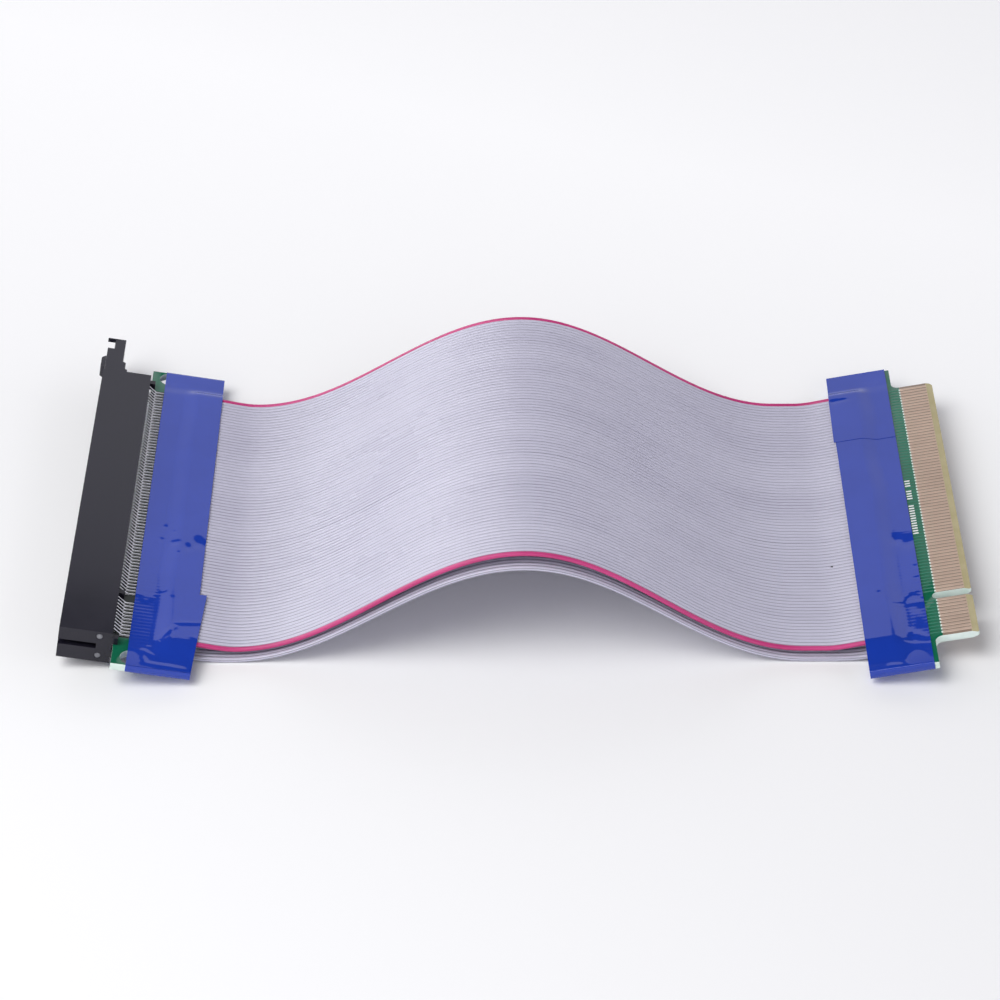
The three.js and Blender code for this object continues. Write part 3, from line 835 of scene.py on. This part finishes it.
def add_housing():
    base = housing_blank()
    warp_top(base)
    add_marks()
    base.data.transform(Matrix.Scale(MM, 4) @ SLOT_FRAME)
    base.name = "slot_housing_moulded"
    base.data.materials.clear()
    base.data.materials.append(plastic)
    round_edges(base, 0.12, 2)
    add_hook()
    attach(base, "root")
    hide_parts("slot_housing")


add_housing()


# Pins: foot, climb, shoulder and the sprung end inside the slot, as (x from the board's edge, height)
PIN_PATH = [
    (3.9, 0.06), (2.6, 0.06), (1.6, 0.06), (1.35, 0.10), (1.15, 0.22), (0.6, 0.64), (0.0, 1.16),
    (-0.2, 1.31), (-0.45, 1.36), (-2.0, 1.30), (-3.6, 0.95), (-5.2, 0.35), (-6.6, -0.05),
    (-7.6, -0.06), (-8.5, 0.25), (-9.0, 0.5),
]
PIN_HALF_WIDTH = 0.17
PIN_HALF_THICKNESS = 0.055
FOOT_POINTS = 4
NARROWED = 0.75
PIN_LIFT = 0.06
PAD_START = 0.9
PAD_LENGTH = 3.6


def pin_sections(y, side):
    """Rings along one pin: a flat strip that is narrower past its foot."""
    path = [Vector((x, 0, z)) for x, z in PIN_PATH]
    sections = []
    for i, point in enumerate(path):
        before = path[max(i - 1, 0)]
        after = path[min(i + 1, len(path) - 1)]
        along = (after - before).normalized()
        across = Vector((-along.z, 0, along.x)) * PIN_HALF_THICKNESS
        x = point.x - SLOT_BOARD_DEPTH
        z = point.z + HALF_BOARD + PIN_LIFT
        w = PIN_HALF_WIDTH * (1 if i < FOOT_POINTS else NARROWED)
        x0, x1 = x + across.x, x - across.x
        z0, z1 = (z + across.z) * side, (z - across.z) * side
        corners = [(x0, y - w, z0), (x0, y + w, z0), (x1, y + w, z1), (x1, y - w, z1)]
        sections.append(corners if side > 0 else corners[::-1])
    return sections


def add_pins():
    for layer, side in SIDES.items():
        for group, contacts in GROUPS.items():
            parts = Parts()
            for y in contacts:
                parts.sweep(pin_sections(y, side))
            name = f"{layer}_pins_{group}"
            made = parts.make(f"{name}_formed", [tin], [name], SLOT_FRAME)
            round_edges(made, 0.03, 1)
        pads = Parts()
        z0 = side * (HALF_BOARD - SUNK)
        x0 = -SLOT_BOARD_DEPTH + PAD_START
        for y in SHORT + LONG:
            pads.pad(x0, x0 + PAD_LENGTH, y - 0.22, y + 0.22, z0, side * (HALF_BOARD + 0.03), 0.03)
            pads.pad(x0 + 0.3, x0 + 0.75, y - 0.26, y + 0.26, z0, side * (HALF_BOARD + 0.12), 0.1)
        pads.make(f"{layer}_pin_pads", [solder], (), SLOT_FRAME)


add_pins()


# Tape
def waves(x, y, seed, scale):
    """A smooth, seeded ripple with unit height."""
    rng = np.random.default_rng(seed)
    total = 0
    for _ in range(7):
        angle = rng.uniform(0, math.pi)
        turn = rng.uniform(0, 2 * math.pi)
        size = scale * rng.uniform(0.7, 1.5)
        total = total + np.sin((x * math.cos(angle) + y * math.sin(angle)) * 2 * math.pi / size + turn)
    return total / 3.5


# Dents in the film, as (x, y, length along X, length along Y, height)
SLOT_DENTS = (
    (-7.9, 24.4, 0.45, 0.5, -0.022), (-8.3, 19.9, 0.35, 0.6, -0.018), (-5.9, 22.6, 0.4, 0.5, -0.022),
    (-5.6, 18.9, 0.9, 0.9, -0.045), (-4.7, 15.6, 0.3, 0.35, -0.015), (-2.9, 17.5, 0.8, 1.2, -0.05),
    (-1.2, 19.4, 1.0, 1.7, -0.085), (0.5, 18.6, 0.9, 1.5, -0.05), (-2.6, 75.4, 0.4, 0.5, -0.02),
)
EDGE_DENTS = (
    (8.6, 19.4, 1.1, 1.6, -0.075), (10.6, 17.9, 1.3, 2.0, -0.09), (12.0, 18.6, 0.8, 1.6, -0.05),
    (11.4, 9.9, 0.35, 0.3, -0.015), (11.3, 6.2, 0.4, 0.3, -0.015), (11.0, 1.3, 0.4, 0.4, -0.02),
    (0.4, 69.3, 0.9, 0.7, -0.06), (2.2, 69.4, 1.2, 0.5, -0.04), (3.6, 2.2, 0.4, 0.4, -0.012),
)
# Small folds, as (x0, y0, x1, y1, width, height)
SLOT_FOLDS = (
    (-6.2, -11.9, -3.7, -8.2, 0.55, 0.07), (-3.4, -7.1, 1.3, -6.2, 0.45, 0.07),
    (0.2, -10.8, 2.2, -11.7, 0.5, 0.05), (-8.9, -15.6, -5.6, -17.5, 0.4, 0.06),
    (-8.0, -14.3, -7.6, -14.3, 0.3, 0.03), (-9.9, -16.4, -8.2, -19.0, 0.5, 0.07),
    (-8.2, -19.2, -1.0, -19.6, 0.45, 0.08), (-5.2, -13.0, 0.6, -18.6, 0.8, 0.04),
    (-4.4, -9.5, -3.9, -14.4, 0.5, 0.05),
)
EDGE_FOLDS = (
    (9.2, -1.6, 12.0, -1.8, 0.9, 0.09), (9.8, -3.6, 10.6, -8.0, 0.9, 0.07),
    (8.7, -10.6, 11.0, -12.6, 0.8, 0.08), (7.6, -12.2, 8.4, -9.4, 0.4, 0.05),
    (3.6, -19.4, 5.4, -19.6, 0.4, 0.06), (6.4, -13.6, 11.8, -14.6, 0.5, 0.05),
)
DENT_DEPTH = 1.8
# How far the film sags where it lies on nothing but the board, and where that starts
SAG = 0.05
SAG_START = {"slot": 1.2, "edge": 0.2}
# Lowest level of the film, its level at the near end, and how far it dips into each hole
FILM_LOWEST = HALF_BOARD + 0.03
END_LEVEL = HALF_BOARD + 0.07
HOLE_DIPS = (0.14, 0.02)


def fold_height(x, y, fold):
    x0, y0, x1, y1, width, height = fold
    dx, dy = x1 - x0, y1 - y0
    t = np.clip(((x - x0) * dx + (y - y0) * dy) / (dx * dx + dy * dy), 0, 1)
    away = np.hypot(x - x0 - t * dx, y - y0 - t * dy) / width
    return height * np.exp(-away * away) * (0.6 + 0.4 * np.sin(t * math.pi))


def tape_surface(x, y, end, side):
    """Height of the tape's inner face over the board's middle."""
    shift = RIBBON_NEAR + LOWER_SHIFT
    slot = end == "slot"
    seed = (3 if slot else 8) + (0 if side > 0 else 20)
    ragged = 1.4 * waves(x, y * 0.3, seed + 5, 4.0) + 0.5 * waves(x, y, seed + 6, 1.7)
    if slot:
        cover = smoothstep((x + SLOT_HOLD + 4.0 + 0.3 * waves(y * 0.2, x * 0, seed + 2, 5.0)) / 3.8)
        outer = OVER_PINS
        hole_x = SLOT_HOLE_X
    else:
        cover = smoothstep((EDGE_HOLD + 4.2 - x + 0.3 * waves(y * 0.2, x * 0, seed + 2, 5.0)) / 4.0)
        outer = OVER_BOARD + 0.12
        hole_x = EDGE_HOLE_X
    fall = np.clip((SAG_START[end] - y) / (SAG_START[end] - BOARD_NEAR), 0, 1)
    level = outer + (END_LEVEL - outer) * fall
    past_far = smoothstep((RIBBON_FAR + 3.0 - y) / 3.2)
    level = OVER_BOARD + (level - OVER_BOARD) * past_far
    climb = smoothstep((y - shift + 5.0) / 6.6) * past_far
    height = level + (OVER_RIBBON - level) * cover * climb
    ripple = 0.006 * waves(x, y * 0.5, seed, 11.0) + 0.0012 * waves(x, y, seed + 1, 3.5)
    rows = 0.002 * np.sin(2 * np.pi * (y - 0.5) / PITCH) * (1 - cover) * climb
    if side < 0:
        return height + ripple + rows
    sag = smoothstep((SAG_START[end] + ragged - y) / 1.2) * (1 - cover) ** 0.5
    dip = -SAG * sag
    for dent in SLOT_DENTS if slot else EDGE_DENTS:
        away = ((x - dent[0]) / dent[2]) ** 2 + ((y - dent[1]) / dent[3]) ** 2
        dip = dip + DENT_DEPTH * dent[4] * np.exp(-away)
    for fold in SLOT_FOLDS if slot else EDGE_FOLDS:
        dip = dip + fold_height(x, y, fold)
    for hole_y, depth in zip(HOLE_Y, HOLE_DIPS):
        away = np.hypot(x - hole_x, y - hole_y)
        dip = dip - depth * smoothstep((HOLE_RADIUS + 0.3 - away) / 0.6)
    return np.maximum(height + ripple + rows + dip, FILM_LOWEST)


STATIONS = 64
# Rows of points along the film: close in the near part, where the folds are
CLOSE_ROWS = 230
WIDE_ROWS = 110
CLOSE_END = 26.0
SIDE_GAP = 0.04
SIDE_MARGIN = 0.12
CORNER = 0.25
LAP_LIFT = 0.015
LAP_THICKNESS = 0.06


def tape_loop(x, end, ys, off):
    """One ring round the board at station x, off the film's inner face: (y, z) all the way round."""
    top = tape_surface(x, ys, end, 1) + off
    bottom = -(tape_surface(x, ys, end, -1) + off)
    near = BOARD_NEAR - SIDE_GAP - off
    far = BOARD_FAR + SIDE_GAP + off
    y = np.concatenate([[near], ys, [far], [far], ys[::-1], [near]])
    upper = np.concatenate([[top[0] - CORNER], top, [top[-1] - CORNER]])
    lower = np.concatenate([[bottom[-1] + CORNER], bottom[::-1], [bottom[0] + CORNER]])
    return np.stack([np.full_like(y, x), y, np.concatenate([upper, lower])], axis=1)


def add_tape(end, stations, place, lap):
    near_part = np.linspace(BOARD_NEAR + SIDE_MARGIN, CLOSE_END, CLOSE_ROWS)
    far_part = np.linspace(CLOSE_END, BOARD_FAR - SIDE_MARGIN, WIDE_ROWS)[1:]
    ys = np.concatenate([near_part, far_part])
    outer = [tape_loop(x, end, ys, TAPE_THICKNESS) for x in stations]
    inner = [tape_loop(x, end, ys, 0) for x in stations]
    rings = np.array(outer + inner[::-1])
    count, n = rings.shape[0], rings.shape[1]
    a = np.arange(count)[:, None] * n + np.arange(n)[None, :]
    b = np.arange(count)[:, None] * n + np.roll(np.arange(n), -1)[None, :]
    quads = np.stack([a, b, np.roll(b, -1, axis=0), np.roll(a, -1, axis=0)], axis=2).reshape(-1, 4)
    faces = [tuple(q) for q in quads[:, ::-1].tolist()]
    points = rings.reshape(-1, 3)
    made = piece(f"{end}_tape_film", points, faces, [film], [f"{end}_tape"], None, place)
    made.data.set_sharp_from_angle(angle=math.radians(50))
    add_lap(end, place, lap)


def add_lap(end, place, lap):
    """The lapped end of the tape, a thin sheet over the first turn."""
    y0, y1, edge0, edge1 = lap
    rows = 90
    columns = 40
    t = np.linspace(0, 1, rows)[:, None]
    s = np.linspace(0, 1, columns)[None, :]
    y = y0 + (y1 - y0) * t + 0 * s
    low = edge0[0] + (edge1[0] - edge0[0]) * t
    high = edge0[1] + (edge1[1] - edge0[1]) * t
    x = low + (high - low) * s
    base = tape_surface(x, y, end, 1) + TAPE_THICKNESS
    sheet = []
    for lift in (LAP_LIFT, LAP_LIFT + LAP_THICKNESS):
        sheet.append(np.stack([x, y, base + lift], axis=2).reshape(-1, 3))
    points = np.concatenate(sheet)
    n = rows * columns
    faces = []
    for i in range(rows - 1):
        for j in range(columns - 1):
            a = i * columns + j
            quad = (a, a + 1, a + columns + 1, a + columns)
            faces.append(tuple(v + n for v in quad))
            faces.append(quad[::-1])
    rim = list(range(columns)) + [i * columns + columns - 1 for i in range(1, rows)]
    rim += [(rows - 1) * columns + j for j in range(columns - 2, -1, -1)]
    rim += [i * columns for i in range(rows - 2, 0, -1)]
    for k in range(len(rim)):
        a, b = rim[k], rim[(k + 1) % len(rim)]
        faces.append((a, b, b + n, a + n))
    made = piece(f"{end}_tape_lap", points, faces, [film], (), None, place)
    bm = bmesh.new()
    bm.from_mesh(made.data)
    bmesh.ops.recalc_face_normals(bm, faces=bm.faces)
    bm.to_mesh(made.data)
    bm.free()
    made.data.set_sharp_from_angle(angle=math.radians(50))


# Each lap as (start, end along Y, its two edges in X at the start, and at the end)
slot_outer = TAPE_OVERHANG - TAPE_WIDTH
slot_lap = (BOARD_NEAR - 0.1, SLOT_SEAM, (slot_outer, 0.5), (slot_outer + 0.1, 1.9))
add_tape("slot", np.linspace(slot_outer, TAPE_OVERHANG, STATIONS), SLOT_FRAME, slot_lap)
edge_outer = TAPE_WIDTH - TAPE_OVERHANG
edge_lap = (EDGE_SEAM, BOARD_FAR + 0.1, (-0.9, edge_outer), (-0.6, edge_outer))
add_tape("edge", np.linspace(-TAPE_OVERHANG, edge_outer, STATIONS), EDGE_FRAME, edge_lap)


# A dark speck that lies on the ribbon
SPECK_PLACE = (60.2, 13.0)
SPECK_HALF_LENGTH = 0.35
SPECK_HALF_WIDTH = 0.22


def add_speck():
    parts = Parts()
    x, y = SPECK_PLACE
    z = float(Route(1).height(np.array(x), np.array(y))) + RIBBON_THICKNESS / 2
    rings = []
    for rise, share in ((-0.03, 1.0), (0.03, 0.8), (0.06, 0.3)):
        long = SPECK_HALF_LENGTH * share
        wide = SPECK_HALF_WIDTH * share
        rings.append([(x + long * a, y + wide * b, z + rise) for a, b in circle(0, 0, 1, 9)])
    parts.sweep(rings)
    parts.make("ribbon_speck", [dirt], (), TABLE_FRAME, True)


add_speck()

for node_name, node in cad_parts.items():
    if "solder" in node_name:
        node.data.materials.clear()
        node.data.materials.append(solder)


# Floor, surroundings and lamps, in metres. The floor lies just under the ribs of the lower ribbon.
FLOOR_Z = -0.00006
FLOOR_SIZE = 6.0
FLOOR_LIFT_WAY = (0.45, 1.0, 0.0)
FLOOR_LIFT_REACH = 0.16
FLOOR_LIFT = 0.14
WALL_WHITE = (0.92, 0.92, 1.0, 1)
OVERHEAD_DARK = (0.05, 0.05, 0.055, 1)
WALL_TOP = 0.618
OVERHEAD_START = 0.626
KEY_PLACE = (-0.42, -0.30, 0.78)
WINDOW_PLACE = (-0.60, 0.52, 0.47)


def even_out(shader):
    """Keep the far floor as white as the near one, as the camera, glossy and transmitted rays see it."""
    nodes = shader.material.node_tree.nodes
    links = shader.material.node_tree.links
    place = nodes.new("ShaderNodeNewGeometry")
    along = nodes.new("ShaderNodeVectorMath")
    along.operation = "DOT_PRODUCT"
    along.inputs[1].default_value = FLOOR_LIFT_WAY
    grade = nodes.new("ShaderNodeMapRange")
    grade.inputs["From Min"].default_value = 0.0
    grade.inputs["From Max"].default_value = FLOOR_LIFT_REACH
    grade.inputs["To Max"].default_value = FLOOR_LIFT
    rays = nodes.new("ShaderNodeLightPath")
    seen = rays.outputs["Is Camera Ray"]
    for name in ("Is Glossy Ray", "Is Transmission Ray"):
        either = nodes.new("ShaderNodeMath")
        either.operation = "MAXIMUM"
        links.new(seen, either.inputs[0])
        links.new(rays.outputs[name], either.inputs[1])
        seen = either.outputs["Value"]
    strength = nodes.new("ShaderNodeMath")
    strength.operation = "MULTIPLY"
    links.new(place.outputs["Position"], along.inputs[0])
    links.new(along.outputs["Value"], grade.inputs["Value"])
    links.new(grade.outputs["Result"], strength.inputs[0])
    links.new(seen, strength.inputs[1])
    surface = nodes["Principled BSDF"]
    surface.inputs["Emission Color"].default_value = (1.0, 1.0, 1.0, 1.0)
    links.new(strength.outputs["Value"], surface.inputs["Emission Strength"])


def add_floor():
    mesh = bpy.data.meshes.new("floor")
    signs = ((-1, -1), (1, -1), (1, 1), (-1, 1))
    corners = [(FLOOR_SIZE * a, FLOOR_SIZE * b, FLOOR_Z) for a, b in signs]
    mesh.from_pydata(corners, [], [(0, 1, 2, 3)])
    floor = bpy.data.objects.new("floor", mesh)
    bpy.context.scene.collection.objects.link(floor)
    shader = Shader("floor_white", (0.965, 0.963, 0.958), 0.9, Specular_IOR_Level=0.1)
    mesh.materials.append(shader.material)
    even_out(shader)


def add_world():
    """White at the height of the walls, dark overhead, so that flat film mirrors white."""
    world = bpy.data.worlds.new("world")
    bpy.context.scene.world = world
    world.use_nodes = True
    nodes = world.node_tree.nodes
    links = world.node_tree.links
    background = nodes["Background"]
    coordinates = nodes.new("ShaderNodeTexCoord")
    split = nodes.new("ShaderNodeSeparateXYZ")
    ramp = nodes.new("ShaderNodeValToRGB")
    links.new(coordinates.outputs["Generated"], split.inputs["Vector"])
    links.new(split.outputs["Z"], ramp.inputs["Fac"])
    links.new(ramp.outputs["Color"], background.inputs["Color"])
    elements = ramp.color_ramp.elements
    elements[0].position = 0.0
    elements[0].color = WALL_WHITE
    elements[1].position = WALL_TOP
    elements[1].color = WALL_WHITE
    elements.new(OVERHEAD_START).color = OVERHEAD_DARK
    background.inputs["Strength"].default_value = 1.0


def add_lamp(name, place, size, energy, wide=True):
    """A square lamp aimed at the part; one that isn't wide shows in reflections only."""
    data = bpy.data.lights.new(name, "AREA")
    data.shape = "SQUARE"
    data.size = size
    data.energy = energy
    lamp = bpy.data.objects.new(name, data)
    bpy.context.scene.collection.objects.link(lamp)
    lamp.location = place
    lamp.visible_diffuse = wide
    lamp.rotation_euler = (-Vector(place)).to_track_quat("-Z", "Y").to_euler()


add_floor()
add_world()
add_lamp("key", KEY_PLACE, 0.7, 6.7)
add_lamp("window", WINDOW_PLACE, 0.4, 3.0, False)
bpy.context.scene.view_settings.view_transform = "Standard"
